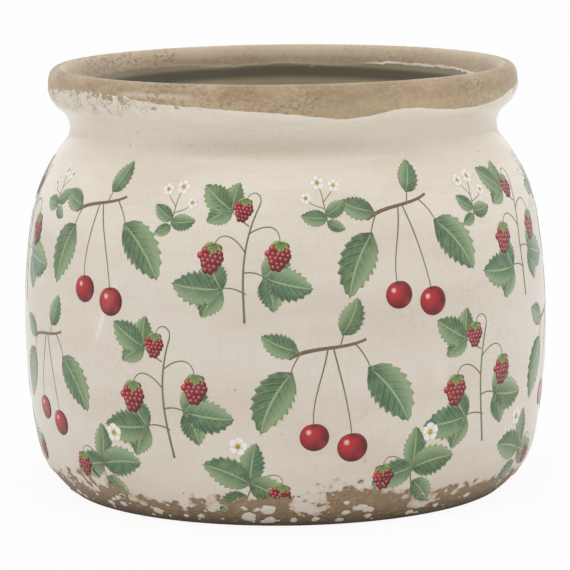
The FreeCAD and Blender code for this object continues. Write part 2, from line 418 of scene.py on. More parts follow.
def glaze_cover(point, angle):
    """How far a place lies inside the glaze, in metres. It is negative on bare clay."""
    height = point.z
    crumbling = max(0, math.cos(angle - crumbly_left)) ** 8
    crumbling = max(crumbling, 0.6 * max(0, math.cos(angle - crumbly_right)) ** 60)
    rim_line = pot_height - rim_edge_drop + rim_edge_wave * wavering(angle, RIM_EDGE_SHARES)
    below_rim = rim_line + crumbly_rise * crumbling - height + 0.0003 * ragged(point, 0.004)
    if below_rim < crumbly_band * crumbling:
        below_rim += 0.0010 * crumbling * ragged(point, 0.0020)
        gap, chance = lumps(point, lump_size)
        if chance < lumps_lost * crumbling * (1 - max(0, below_rim) / lost_depth):
            below_rim = -gap
        else:
            below_rim = min(below_rim, gap + 0.0001)
    heel_line = heel_edge_height + heel_edge_wave * wavering(angle, HEEL_EDGE_SHARES)
    above_heel = height - heel_line + 0.0022 * ragged(point, 0.011)
    if above_heel < wear_reach:
        fading = 1 - min(1, abs(above_heel) / wear_reach)
        patchy = 0.5 + 0.5 * noise.noise(point / 0.020)
        scraped = max(0, math.cos(angle - scraped_side)) ** 40
        slant = Vector((height + 0.9 * body_radius * angle, height * 0.22, 0.0))
        flaking = ragged(point, 0.0044) + 0.6 * ragged(point, 0.0019)
        flaking += 1.5 * scraped * (noise.noise(slant / scrape_width) - 0.1)
        above_heel += (0.0012 + 0.0070 * patchy**2 + 0.0045 * scraped) * fading * flaking
        pit, chance = spots(point, wear_pit_spacing)
        if chance > 0.62 + 0.03 * above_heel / 0.001:
            above_heel = min(above_heel, pit - 0.0017 * (chance - 0.5))
    if height < island_top:
        island, chance = spots(Vector((point.x, point.y, point.z * 1.35)), island_spacing)
        left = 0.0026 * (chance - 0.04) + 0.0005 * ragged(point, 0.0025) - island
        for degrees, middle, half_width, half_height in LARGE_ISLANDS:
            across = (angle - math.radians(degrees)) * heel_radius * 1000 / half_width
            reach = 1 - math.hypot(across, (height * 1000 - middle) / half_height)
            frayed = 0.36 * ragged(point, 0.0022) + 0.22 * ragged(point, 0.0012)
            left = max(left, 0.001 * half_height * (reach + frayed))
        if left > 0.001:
            pit, chance = spots(point, 0.0026)
            left = min(left, pit - 0.0012 * chance)
        crumb, chance = spots(point, fleck_spacing)
        left = max(left, 0.0012 * (chance - 0.42) - crumb)
        above_heel = max(above_heel, min(left, (height - island_bottom) * 0.6))
    return min(below_rim, above_heel)


edge_columns, belly_columns = 900, 300
edge_step, belly_step, neck_step = 0.0006, 0.0036, 0.0021
heel_band, rim_band, shoulder_height = (0.0012, 0.0255), (0.1470, 0.1580), 0.115
glaze_rows = (
    rows_between(outside_at(heel_band[0]), outside_at(heel_band[1]), edge_step, edge_columns)
    + rows_between(outside_at(heel_band[1]), outside_at(shoulder_height), belly_step, belly_columns)
    + rows_between(outside_at(shoulder_height), outside_at(rim_band[0]), neck_step, belly_columns)
    + rows_between(outside_at(rim_band[0]), outside_at(rim_band[1]), edge_step, edge_columns)
)
glaze_points, glaze_faces = net_round_pot(glaze_rows)


def working_net(points, faces, heights, marks):
    """A net as a flat mesh to cut: its angle and length across, and a given height for each point."""
    mesh = bpy.data.meshes.new("working_net")
    mesh.from_pydata(np.column_stack([points, heights]).tolist(), [], faces)
    layer = mesh.attributes.new("mark", "FLOAT_VECTOR", "POINT")
    layer.data.foreach_set("vector", np.ascontiguousarray(marks, dtype=np.float32).ravel())
    shape = bmesh.new()
    shape.from_mesh(mesh)
    bpy.data.meshes.remove(mesh)
    return shape


def read_back(shape):
    """Points, faces, heights and marks of a working net, which is then done with."""
    shape.verts.index_update()
    layer = shape.verts.layers.float_vector["mark"]
    table = np.array([(*vert.co, *vert[layer]) for vert in shape.verts]).reshape(-1, 6)
    faces = [[vert.index for vert in face.verts] for face in shape.faces]
    shape.free()
    return table[:, :2], faces, table[:, 2], table[:, 3:]


def trimmed(points, faces, cover, marks=None):
    """A net cut off where its cover falls to nothing: points, faces, cover and marks."""
    shape = working_net(points, faces, cover, np.zeros((len(points), 3)) if marks is None else marks)
    everything = [*shape.verts, *shape.edges, *shape.faces]
    bmesh.ops.bisect_plane(
        shape, geom=everything, dist=1e-7, plane_co=(0, 0, 0), plane_no=(0, 0, 1), clear_inner=True
    )
    return read_back(shape)


def joined_to_ring(points, faces):
    """The faces with the points of the last column, a full turn on, swapped for those of the first."""
    near = {round(length, 6): index for index, (angle, length) in enumerate(points) if angle < 1e-4}
    swap = list(range(len(points)))
    for index, (angle, length) in enumerate(points):
        if angle > 2 * math.pi - 1e-4:
            swap[index] = near.get(round(length, 6), index)
    return [[swap[point] for point in face] for face in faces]


def closed(front, back, faces, seats=None):
    """Places and faces of a skin with the given front and back, walled round its edges.

    Points with the same seat lie in one place, so no wall stands between them."""
    seats = range(len(front)) if seats is None else seats
    sides = {}
    for face in faces:
        for start, end in zip(face, [*face[1:], face[0]]):
            met = sides.pop((seats[end], seats[start]), None)
            if met is None and seats[start] != seats[end]:
                sides[seats[start], seats[end]] = start, end
    count = len(front)
    whole = [tuple(face) for face in faces]
    whole += [tuple(point + count for point in reversed(face)) for face in faces]
    whole += [(end, start, start + count, end + count) for start, end in sides.values()]
    return np.vstack([front, back]), whole


def grouped(count, faces):
    """Faces sorted into runs that hang together, the largest first."""
    owner = list(range(count))

    def root(point):
        while owner[point] != point:
            owner[point] = owner[owner[point]]
            point = owner[point]
        return point

    for face in faces:
        for point in face[1:]:
            owner[root(point)] = root(face[0])
    runs = {}
    for face in faces:
        runs.setdefault(root(face[0]), []).append(face)
    return sorted(runs.values(), key=len, reverse=True)


edge_round = 0.0012
bed_depth = 0.00012


def glaze_rise(cover):
    """How far the glaze stands out of the clay, rising from its edge in a quarter round."""
    share = np.clip(cover / edge_round, 0, 1)
    return glaze_thickness * np.sqrt(1 - (1 - share) ** 2)


def coat_of_glaze(name, points, faces, cover, stained=True):
    """A closed coat, bedded a little into the clay."""
    used = sorted({point for face in faces for point in face})
    place_of = {point: number for number, point in enumerate(used)}
    faces = [[place_of[point] for point in face] for face in faces]
    points, cover = points[used], cover[used]
    front = on_wall(points, glaze_rise(cover))
    back = on_wall(points, -bed_depth)
    depth = cover if stained else np.ones(len(cover))
    marks = np.column_stack([depth, depth, depth])
    return piece_of_mesh(name, *closed(front, back, faces), np.vstack([marks, marks]))


bare_places = on_wall(glaze_points, 0)
cover_values = np.array(
    [glaze_cover(Vector(place), angle) for place, (angle, _) in zip(bare_places, glaze_points)]
)
kept_points, kept_faces, kept_cover, _ = trimmed(glaze_points, glaze_faces, cover_values)
kept_runs = grouped(len(kept_points), joined_to_ring(kept_points, kept_faces))
outer_glaze = coat_of_glaze("outer_glaze_coat", kept_points, kept_runs[0], kept_cover)


def crackled(tree, place, colour, strength):
    """The colour with fine brown crackle lines over it, clear in places and lost in others."""
    warp = node(tree, "TexNoise", {"Vector": place, "Scale": 130, "Detail": 2})["Color"]
    bent = node(tree, "VectorMath", {0: warp, "Scale": 0.005}, operation="SCALE")[0]
    bent = node(tree, "VectorMath", {0: place, 1: bent}, operation="ADD")[0]
    sockets = {"Vector": bent, "Scale": 280, "Randomness": 1}
    gap = node(tree, "TexVoronoi", sockets, feature="DISTANCE_TO_EDGE")["Distance"]
    line = graded(tree, gap, 0.05, 0.0, 0, strength)
    shown = graded(tree, cloudy(tree, place, 24, 4), 0.46, 0.70)
    return mixed(tree, times(tree, line, shown), colour, paint(146, 120, 92))


glaze_finish, tree, shader = new_finish("cream_glaze")
place = node(tree, "TexCoord", {})["Object"]
across, _, height = node(tree, "SeparateXYZ", {"Vector": place})
aside = worked(tree, "ABSOLUTE", across)
inside_edge = marks_of(tree)["X"]
cloud = cloudy(tree, stretched(tree, place, (1, 1, 3)), 14, 3)
upper = mixed(tree, graded(tree, cloud, 0.4, 0.7), paint(232, 223, 208), paint(225, 213, 196))
lower = mixed(tree, graded(tree, cloud, 0.4, 0.7), paint(225, 215, 203), paint(217, 205, 191))
colour = mixed(tree, graded(tree, height, 0.085, 0.125), lower, upper)
# Painted shade: the glaze in the neck under the lip is darkened, most at the front and less towards the
# sides.
neck_shade = graded(tree, height, 0.1380, 0.1455, 0.48, 0.0)
neck_shade = times(tree, graded(tree, height, 0.1330, 0.1370), neck_shade)
neck_shade = times(tree, neck_shade, graded(tree, aside, 0.012, 0.060, 1, 0.2))
colour = mixed(tree, neck_shade, colour, paint(192, 176, 150))
in_neck = times(tree, graded(tree, height, 0.135, 0.138), graded(tree, height, 0.146, 0.142))
scuffs = cloudy(tree, stretched(tree, place, (1, 1, 1.6)), 210, 5, 0.7)
scuffs = times(tree, graded(tree, scuffs, 0.60, 0.70, 0, 0.35), in_neck)
colour = mixed(tree, scuffs, colour, paint(158, 140, 116))
weft = cloudy(tree, stretched(tree, place, (1, 1, 18)), 60, 4)
colour = mixed(tree, graded(tree, weft, 0.45, 0.75, 0, 0.22), colour, paint(208, 194, 176))
warp = cloudy(tree, stretched(tree, place, (1, 1, 0.07)), 900, 2)
colour = mixed(tree, graded(tree, warp, 0.45, 0.7, 0, 0.14), colour, paint(206, 190, 170))
stain = cloudy(tree, place, 90, 4)
tide = times(tree, graded(tree, inside_edge, 0.0018, 0.0), graded(tree, stain, 0.3, 0.6))
tide = times(tree, tide, graded(tree, height, 0.045, 0.035, 0, 0.8))
colour = mixed(tree, tide, colour, paint(190, 158, 122))
rim_edge_radius = 0.088
crumbly = graded(tree, facing(tree, place, 210, rim_edge_radius), 0.84, 0.97)
crumbly = times(tree, crumbly, graded(tree, height, 0.146, 0.150))
grit = node(tree, "TexNoise", {"Vector": place, "Scale": 900, "Detail": 2})["Color"]
grit = node(tree, "VectorMath", {0: grit, "Scale": 0.0010}, operation="SCALE")[0]
grit = node(tree, "VectorMath", {0: place, 1: grit}, operation="ADD")[0]
sockets = {"Vector": grit, "Scale": 620, "Randomness": 1}
crumb = node(tree, "TexVoronoi", sockets, feature="DISTANCE_TO_EDGE")["Distance"]
between = times(tree, graded(tree, crumb, 0.12, 0.02, 0, 0.8), crumbly)
between = times(tree, between, graded(tree, cloudy(tree, place, 260, 2), 0.42, 0.58))
colour = mixed(tree, between, colour, paint(152, 124, 94))
dots = node(tree, "TexVoronoi", {"Vector": place, "Scale": 110, "Randomness": 1})
rare = node(tree, "SeparateXYZ", {"Vector": dots["Color"]})["X"]
dot = graded(tree, dots["Distance"], 0.07, 0.03)
dot = times(tree, dot, graded(tree, rare, 0.80, 0.84, 0, 0.6))
colour = mixed(tree, dot, colour, paint(126, 104, 82))
colour = crackled(tree, place, colour, 0.14)
shader.inputs["Roughness"].default_value = 0.10
ripple = cloudy(tree, place, 26, 2)
bump = node(tree, "Bump", {"Height": ripple, "Strength": 0.15, "Distance": 0.001})[0]
rough_crumbs = times(tree, graded(tree, crumb, 0.0, 0.3), crumbly)
sockets = {"Height": rough_crumbs, "Strength": 0.7, "Distance": 0.0003, "Normal": bump}
tree.links.new(node(tree, "Bump", sockets)[0], shader.inputs["Normal"])
dress(outer_glaze, glaze_finish, colour)
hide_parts("outer_glaze")


# Glaze flecks. Islands of the same glaze that are left on the worn heel, each a small rounded skin
# fired to the clay.

fleck_faces = [face for run in kept_runs[1:] for face in run]
flecks = coat_of_glaze("heel_glaze_islands", kept_points, fleck_faces, kept_cover, stained=False)
flecks.data.materials.append(glaze_finish)
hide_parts("heel_glaze_flecks")


# Inner glaze. A thinner greyish glaze, poured in and tipped out, over the inside wall and the floor.
# It ends below the lip's crest in a chipped line.

inner_edge_drop = 0.0069
inner_edge_wave = 0.001
chip_spacing = 0.005
INNER_EDGE_SHARES = (
    0.2, -0.5, 0.6, 0.9, 0.8, -0.3, 0.4, -0.4, 0.7, 1.0, 0.7, 0.3,
    -0.4, 0.2, 0.9, -0.1, -0.6, 0.3, 0.0, 0.5, -0.7, 0.2, 0.4, -0.3,
)  # fmt: skip


def inner_cover(point, angle):
    """How far a place lies inside the inner glaze, in metres."""
    line = pot_height - inner_edge_drop + inner_edge_wave * wavering(angle, INNER_EDGE_SHARES)
    below = line - point.z + 0.0005 * ragged(point, 0.003)
    chip, chance = spots(point, chip_spacing)
    if below < 0.002 and chance > 0.6:
        below = min(below, chip - 0.0014 * (chance - 0.3))
    return below


inner_band = (0.1565, 0.1475)
inner_rows = (
    rows_between(inside_at(inner_band[0]), inside_at(inner_band[1]), edge_step, edge_columns)
    + rows_between(inside_at(inner_band[1]), lengths[-1], coarse_step, belly_columns)
    + [(lengths[-1], belly_columns)]
)
inner_points, inner_faces = net_round_pot(inner_rows)
inner_values = np.array(
    [inner_cover(Vector(p), angle) for p, (angle, _) in zip(on_wall(inner_points, 0), inner_points)]
)
inner_points, inner_faces, inner_values, _ = trimmed(inner_points, inner_faces, inner_values)
inner_faces = joined_to_ring(inner_points, inner_faces)
inner_glaze = coat_of_glaze("inner_glaze_coat", inner_points, inner_faces, inner_values)
inner_finish, tree, shader = new_finish("inner_glaze")
place = node(tree, "TexCoord", {})["Object"]
across, _, height = node(tree, "SeparateXYZ", {"Vector": place})
cloud = cloudy(tree, stretched(tree, place, (1, 1, 0.35)), 30, 4)
colour = mixed(tree, graded(tree, cloud, 0.35, 0.7), paint(160, 148, 116), paint(143, 131, 100))
aside = worked(tree, "ABSOLUTE", across)
# Painted shadow: a dark olive band on the inner wall under the lip, its height and reach changing
# towards the sides.
shadow_level = worked(tree, "ADD", height, times(tree, aside, 0.022))
below_shadow = graded(tree, shadow_level, 0.1468, 0.1500)
above_shadow = graded(tree, shadow_level, 0.1547, 0.1521)
above_shadow = worked(tree, "MAXIMUM", above_shadow, graded(tree, aside, 0.0, 0.04, 0, 0.35))
mouth_shadow_band = times(tree, below_shadow, above_shadow)
colour = mixed(tree, times(tree, mouth_shadow_band, 0.9), colour, paint(60, 52, 26))
inside_edge = marks_of(tree)["X"]
left_side = graded(tree, across, -0.012, -0.035, 0, 0.8)
thin = times(tree, graded(tree, inside_edge, 0.0030, 0.0), left_side)
colour = mixed(tree, thin, colour, paint(150, 127, 96))
# Painted highlight: a pale line along the inner glaze's edge on the right of the mouth.
right_side = graded(tree, across, 0.030, 0.042, 0.1, 1)
edge_highlight = graded(tree, inside_edge, 0.0012, 0.0007)
edge_highlight = times(tree, times(tree, edge_highlight, graded(tree, cloud, 0.2, 0.45, 0.4, 1)), right_side)
colour = mixed(tree, edge_highlight, colour, paint(224, 211, 192))
shader.inputs["Roughness"].default_value = 0.16
dress(inner_glaze, inner_finish, colour)
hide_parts("inner_glaze")


# Printed stems. Fruit sprigs are printed on the fired glaze as transfers and fired on, so each drawing
# is a film about as thick as a hair. Stems and stalks come first, and the rest of a sprig lies on them.

film_bed = 0.00003
column_count = 10
column_turn = 2 * math.pi / column_count
first_column = math.radians(262)
blossom_shift = 0.024


def sprig(kind, angle, height, tilt, size, flip):
    """Where a drawing is printed: its middle on the wall, its tilt, size and side."""
    return {
        "kind": kind,
        "middle": (angle, outside_at(height)),
        "tilt": math.radians(tilt),
        "size": size * 0.001,
        "flip": flip,
    }


def uneven(number, reach):
    """A small difference from one sprig to the next, up to reach either way."""
    return reach * (2 * (number * 0.618 % 1) - 1)


sprigs = []
for column in range(column_count):
    flip = 1 if column % 2 else -1
    turn = first_column + column * column_turn
    between = turn + column_turn / 2
    upper, lower = ("cherry", "bramble") if column % 2 else ("bramble", "cherry")
    size = 0.98 + uneven(column, 0.06)
    high, low = 0.1005 + uneven(column + 4, 0.0025), 0.0490 + uneven(column + 7, 0.0020)
    sprigs.append(sprig(upper, turn, high, 7 * flip + uneven(column, 4), size, flip))
    sprigs.append(sprig(lower, between, low, -6 * flip + uneven(column + 2, 4), 1.94 - size, -flip))
    beside = between + blossom_shift * flip
    sprigs.append(sprig("blossom", beside, 0.1185 + uneven(column + 1, 0.002), -12 * flip, 0.56, flip))
    lowest = 0.0205 + uneven(column + 5, 0.0025)
    sprigs.append(sprig("runner", turn, lowest, uneven(column, 16), 0.8, flip))

# Each stem is a bent line through four points, in millimetres right of and above the sprig's middle,
# and its width at the root.
STEMS = {
    "bramble": [
        ((-4, -25), (-1, -12), (4, 2), (-1, 21), 1.0),
        ((1.2, 2), (7, 8), (13, 8), (14, 2), 0.55),
        ((1.2, 9), (-5, 15), (-11, 15), (-12, 8), 0.55),
        ((-1, 21), (-2, 26), (4, 27.5), (5, 22), 0.5),
        ((-2.4, -14), (3, -12), (7, -13), (10, -15), 0.6),
        ((0, -6), (-5, -4), (-8, -6), (-11, -7), 0.6),
        ((1.6, 12), (6, 14), (9, 16), (11, 17), 0.55),
    ],
    "cherry": [
        ((-15, 17), (-6, 21), (4, 18), (13, 21), 1.5),
        ((-1, 19.2), (-3, 10), (-8, 2), (-8, -7.5), 0.6),
        ((1, 19), (3, 8), (5, -2), (5.5, -12.5), 0.6),
        ((-10, 19), (-13, 16), (-14, 13), (-15, 11), 0.55),
        ((9, 19.6), (12, 16), (13, 13), (14, 10), 0.55),
        ((3, 18.8), (4, 21), (5, 23), (5, 24), 0.55),
    ],
    "runner": [
        ((3, -17), (0, -9), (-2, -4), (0, 1), 0.9),
        ((0, -2), (-6, 8), (-14, 10), (-15, 3), 0.55),
        ((0, 0), (3, 6), (6, 10), (9, 14), 0.55),
    ],
    "blossom": [
        ((0, -16), (1, -6), (-2, 4), (0, 12), 0.8),
        ((-0.2, 0), (-5, 4), (-8, 5), (-10, 8), 0.6),
        ((0, -4), (5, -1), (8, 0), (10, 4), 0.6),
    ],
}


def on_glaze(drawing, where):
    """Points of a drawing, in millimetres from its middle, as (angle, length) on the pot."""
    x, y = np.asarray(drawing).T * where["size"]
    x = x * where["flip"]
    across = x * math.cos(where["tilt"]) - y * math.sin(where["tilt"])
    up = x * math.sin(where["tilt"]) + y * math.cos(where["tilt"])
    angle, length = where["middle"]
    return np.column_stack([angle + across / body_radius, length + up])


def ribbon(rows, columns):
    """Faces of a sheet of points that stand in rows."""
    starts = [row * columns + column for row in range(rows - 1) for column in range(columns - 1)]
    return [(start, start + 1, start + columns + 1, start + columns) for start in starts]


worn_height = 0.026
worn_length = outside_at(worn_height)
worn_margin = 0.00028
worn_cuts = 2


def worn(points, faces, marks):
    """A printed patch near the heel, cut finer and lost where the glaze under it has gone."""
    shape = working_net(points, faces, np.zeros(len(points)), marks)
    low = [edge for edge in shape.edges if min(vert.co.y for vert in edge.verts) < worn_length]
    bmesh.ops.subdivide_edges(shape, edges=low, cuts=worn_cuts, use_grid_fill=True)
    points, faces, _, marks = read_back(shape)
    cover = [glaze_cover(Vector(p), angle) for p, (angle, _) in zip(on_wall(points, 0), points)]
    points, faces, cover, marks = trimmed(points, faces, np.array(cover) - worn_margin, marks)
    return points, faces, glaze_rise(cover + worn_margin), marks


def films(name, patches):
    """One piece of many printed patches: points on the pot, faces, marks and height above the glaze."""
    fronts, backs, faces, marks, seats, count = [], [], [], [], [], 0
    for points, patch_faces, patch_marks, lift in patches:
        rise = glaze_thickness
        if on_wall(points, 0)[:, 2].min() < worn_height:
            points, patch_faces, rise, patch_marks = worn(points, patch_faces, patch_marks)
        fronts.append(on_wall(points, rise + lift))
        backs.append(on_wall(points, rise - film_bed))
        faces.extend(tuple(point + count for point in face) for face in patch_faces)
        marks.append(patch_marks)
        seats.extend(count + np.unique(np.round(points, 7), axis=0, return_inverse=True)[1].ravel())
        count += len(points)
    marks = np.vstack(marks)
    places, whole = closed(np.vstack(fronts), np.vstack(backs), faces, seats)
    return piece_of_mesh(name, places, whole, np.vstack([marks, marks]))


def bent_line(points, count):
    """Points along a line bent by four points, and the unit directions across it."""
    a, b, c, d = (np.array(point, dtype=float) for point in points)
    t = np.linspace(0, 1, count)[:, None]
    line = (1 - t) ** 3 * a + 3 * (1 - t) ** 2 * t * b + 3 * (1 - t) * t**2 * c + t**3 * d
    along = np.gradient(line, axis=0)
    along /= np.linalg.norm(along, axis=1)[:, None]
    return line, np.column_stack([-along[:, 1], along[:, 0]])


stem_lift = 0.00003
stem_steps = 18
stem_patches = []
for where in sprigs:
    for *points, width in STEMS[where["kind"]]:
        line, across = bent_line(points, stem_steps)
        run = np.linspace(0, 1, stem_steps)
        half = width / 2 * (1 - 0.35 * run)
        sheet = np.stack([line + across * (half * side)[:, None] for side in (-1, 0, 1)], axis=1)
        marks = [(t, side, width) for t in run for side in (-1, 0, 1)]
        stem = on_glaze(sheet.reshape(-1, 2), where)
        stem_patches.append((stem, ribbon(stem_steps, 3), marks, stem_lift))
stems = films("printed_stems", stem_patches)


def transfer_finish(name):
    """A printed finish with the glaze's own gloss, and the marks that its drawing goes by."""
    material, tree, shader = new_finish(name)
    shader.inputs["Roughness"].default_value = 0.16
    place = node(tree, "TexCoord", {})["Object"]
    return material, tree, place, marks_of(tree)


stem_finish, tree, place, (along, side, width) = transfer_finish("printed_stem")
colour = mixed(tree, graded(tree, side, -1, 1), paint(140, 146, 96), paint(92, 104, 66))
colour = mixed(tree, graded(tree, width, 1.1, 1.4), colour, paint(122, 96, 70))
colour = mixed(tree, graded(tree, along, 0.75, 1.0, 0, 0.5), colour, paint(132, 128, 70))
bark = graded(tree, cloudy(tree, place, 800, 3), 0.45, 0.7, 0, 0.5)
colour = mixed(tree, bark, colour, paint(98, 84, 58))
dress(stems, stem_finish, colour)


# Printed leaves. Toothed leaves with pale veins, in threes on the brambles and single on the cherries,
# drawn in greens from bluish to yellow and printed over the stems.

# Each leaf's root, heading, length, width and bend from root to tip, in millimetres and degrees
LEAVES = {
    "bramble": [
        (7.6, -14, 58, 15, 10.5, 30),
        (7.6, -14.6, -66, 14, 10, -30),
        (8.8, -14.4, -6, 20, 13.5, 14),
        (-8.4, -6, 116, 15, 10.5, -30),
        (-8.6, -6.8, 244, 14, 10, 30),
        (-9.6, -6.4, 182, 19, 13, -14),
        (10, 17, 92, 12, 8.5, 25),
        (10, 16.6, -36, 12, 8.5, -25),
        (10.8, 17, 28, 16, 11, 12),
    ],
    "cherry": [
        (-12, 19.4, 152, 14, 8.5, -24),
        (5, 24, 62, 14, 9, 24),
        (-15, 11, 240, 25, 14, 30),
        (14, 10, -58, 26, 14.5, -30),
    ],
    "runner": [
        (0, 1, 84, 19, 12, 14),
        (-0.6, 0, 196, 22, 13.5, 20),
        (0.6, 0, 4, 24, 14.5, -20),
        (1, -7, -52, 17, 11, -16),
    ],
    "blossom": [
        (-0.5, -8, 158, 17, 10.5, -22),
        (0.4, -10, 18, 18, 11, 22),
        (0, -13, 214, 13, 8, -16),
    ],
}
leaf_lift, leaf_step = 0.00004, 0.000004
leaf_teeth = 8
LEAF_SIDES = (-1, -0.66, -0.33, 0, 0.33, 0.66, 1)


def leaf_sheet(x, y, way, length, width, bend, teeth):
    """Points of a leaf, seven to a row from its root to its tip, and its marks along and across."""
    way, bend = math.radians(way), math.radians(bend)
    root = np.array((x, y))
    middle = root + length / 2 * np.array((math.cos(way - bend / 2), math.sin(way - bend / 2)))
    tip = middle + length / 2 * np.array((math.cos(way + bend / 2), math.sin(way + bend / 2)))
    points, marks = [], []
    for row in range(2 * teeth + 1):
        tooth, half = divmod(row, 2)
        t = (tooth + 0.62 * half) / teeth
        spine = (1 - t) ** 2 * root + 2 * t * (1 - t) * middle + t**2 * tip
        along = (1 - t) * (middle - root) + t * (tip - middle)
        along /= np.linalg.norm(along)
        across = np.array((-along[1], along[0]))
        spread = width / 2 * t**0.6 * (1 - t) ** 0.75 / 0.4
        for side in LEAF_SIDES:
            at_edge = abs(side) == 1
            reach = spread * side * ((1.08 if half else 0.9) if at_edge else 1)
            forward = length * 0.035 * half * at_edge
            points.append(spine + across * reach + along * (forward - 0.06 * length * abs(side)))
            marks.append((t, side))
    return np.array(points), np.array(marks)


leaf_patches = []
for number, where in enumerate(sprigs):
    for order, leaf in enumerate(LEAVES[where["kind"]]):
        sheet, marks = leaf_sheet(*leaf, leaf_teeth)
        tone = (number * 0.618 + order * 0.382) % 1
        marks = np.column_stack([marks * (1, where["flip"]), np.full(len(marks), tone)])
        faces = ribbon(2 * leaf_teeth + 1, len(LEAF_SIDES))
        leaf_patches.append((on_glaze(sheet, where), faces, marks, leaf_lift + leaf_step * order))
leaves = films("printed_leaves", leaf_patches)

leaf_finish, tree, place, (along, side, tone) = transfer_finish("printed_leaf")
from_middle = worked(tree, "ABSOLUTE", side)
colour = mixed(tree, tone, paint(106, 130, 78), paint(92, 130, 98))
shaded = worked(tree, "SUBTRACT", times(tree, along, 7.5), times(tree, from_middle, 2.2))
pleat = worked(tree, "PINGPONG", shaded, 0.5)
colour = mixed(tree, graded(tree, pleat, 0.02, 0.5, 0.7, 0), colour, paint(54, 86, 62))
light_half = worked(tree, "ADD", side, times(tree, along, 0.5))
colour = mixed(tree, graded(tree, light_half, 0.1, 1.2, 0, 0.75), colour, paint(160, 180, 136))
dark_half = graded(tree, light_half, 0.15, -0.7, 0, 0.5)
colour = mixed(tree, dark_half, colour, paint(48, 80, 60))
colour = mixed(tree, graded(tree, from_middle, 0.82, 1.0, 0, 0.6), colour, paint(150, 168, 108))
colour = mixed(tree, graded(tree, along, 0.3, 0.0, 0, 0.6), colour, paint(58, 84, 54))
vein = worked(tree, "PINGPONG", worked(tree, "ADD", shaded, 0.12), 0.5)
vein = graded(tree, vein, 0.07, 0.02, 0, 0.5)
midrib = graded(tree, from_middle, 0.09, 0.03, 0, 0.75)
colour = mixed(tree, worked(tree, "MAXIMUM", vein, midrib), colour, paint(172, 188, 142))
wash = graded(tree, cloudy(tree, place, 300, 4), 0.4, 0.75, 0, 0.5)
colour = mixed(tree, wash, colour, paint(140, 158, 122))
dress(leaves, leaf_finish, crackled(tree, place, colour, 0.25))


# Printed raspberries. Each is a cluster of round drupelets under five small sepals, drawn in reds with
# a pink light on every drupelet.

# Middle of the fruit and its half-width, in millimetres
BERRIES = {
    "bramble": [(14.2, -3, 4.7), (-12.3, 3.2, 4.5), (5.3, 18, 3.7)],
    "runner": [(-15.2, -2, 4.6)],
}
DRUPELET_ROWS = (3, 4, 5, 4, 3, 2)
drupelet_corners = 10
berry_lift, drupelet_step = 0.00007, 0.0000015
berry_patches = []
for where in sprigs:
    for x, y, half_width in BERRIES.get(where["kind"], ()):
        seats = [
            ((column - (across - 1) / 2) * 0.44, 0.88 - row * 0.40)
            for row, across in enumerate(DRUPELET_ROWS)
            for column in range(across)
        ]
        for order, (seat_x, seat_y) in enumerate(seats):
            size = (0.30 + uneven(order + 3, 0.03)) * half_width
            turns = np.linspace(0, 2 * math.pi, drupelet_corners, endpoint=False)
            ring = np.column_stack([np.cos(turns), np.sin(turns)])
            astray = uneven(order * 5, 0.07), uneven(order * 3 + 1, 0.06)
            middle = np.array((x, y)) + half_width * np.array((seat_x + astray[0], seat_y + astray[1]))
            light = 0.55 - 0.4 * seat_x * where["flip"] + 0.25 * seat_y
            marks = np.column_stack([ring * (where["flip"], 1), np.full(drupelet_corners, light)])
            points = on_glaze(middle + ring * size, where)
            face = tuple(range(drupelet_corners))
            berry_patches.append((points, [face], marks, berry_lift + drupelet_step * order))
berries = films("printed_raspberries", berry_patches)


def distance_from(tree, across, up, x, y):
    """Distance on the drawing from the point x, y."""
    aside = worked(tree, "POWER", worked(tree, "SUBTRACT", across, x), 2)
    above = worked(tree, "POWER", worked(tree, "SUBTRACT", up, y), 2)
    return worked(tree, "SQRT", worked(tree, "ADD", aside, above))


berry_finish, tree, _, (across, up, light) = transfer_finish("printed_raspberry")
colour = mixed(tree, light, paint(112, 20, 32), paint(184, 50, 56))
from_light = distance_from(tree, across, up, -0.3, 0.35)
colour = mixed(tree, graded(tree, from_light, 0.5, 1.3, 0, 0.8), colour, paint(96, 10, 28))
colour = mixed(tree, graded(tree, from_light, 0.45, 0.1, 0, 0.75), colour, paint(222, 158, 152))
dress(berries, berry_finish, colour)


# Printed sepals. The small green leaves that cap each raspberry, five to a fruit. They are drawn over
# the top of the fruit in a lighter green than the leaves.

sepal_lift = 0.00009
sepal_teeth = 3
SEPAL_HEADINGS = (-150, -118, -90, -58, -28)
sepal_patches = []
for number, where in enumerate(sprigs):
    for x, y, half_width in BERRIES.get(where["kind"], ()):
        for order, way in enumerate(SEPAL_HEADINGS):
            root = (x, y + 1.16 * half_width)
            length = half_width * (0.82 if order % 2 else 0.98)
            bend = 30 - 15 * order
            sheet, marks = leaf_sheet(*root, way, length, half_width * 0.42, bend, sepal_teeth)
            marks = np.column_stack([marks, np.full(len(marks), number * 0.618 % 1)])
            faces = ribbon(2 * sepal_teeth + 1, len(LEAF_SIDES))
            lift = sepal_lift + leaf_step * order
            sepal_patches.append((on_glaze(sheet, where), faces, marks, lift))
sepals = films("printed_sepals", sepal_patches)

sepal_finish, tree, _, (along, side, tone) = transfer_finish("printed_sepal")
colour = mixed(tree, graded(tree, side, -1, 1), paint(96, 122, 60), paint(158, 176, 96))
colour = mixed(tree, graded(tree, along, 0.35, 0.0), colour, paint(78, 98, 50))
colour = mixed(tree, times(tree, tone, 0.4), colour, paint(128, 150, 104))
dress(sepals, sepal_finish, colour)


# Printed cherries. Round fruit in pairs on long stalks, drawn in reds with a pale light at the upper
# left and a dark dimple where the stalk goes in.

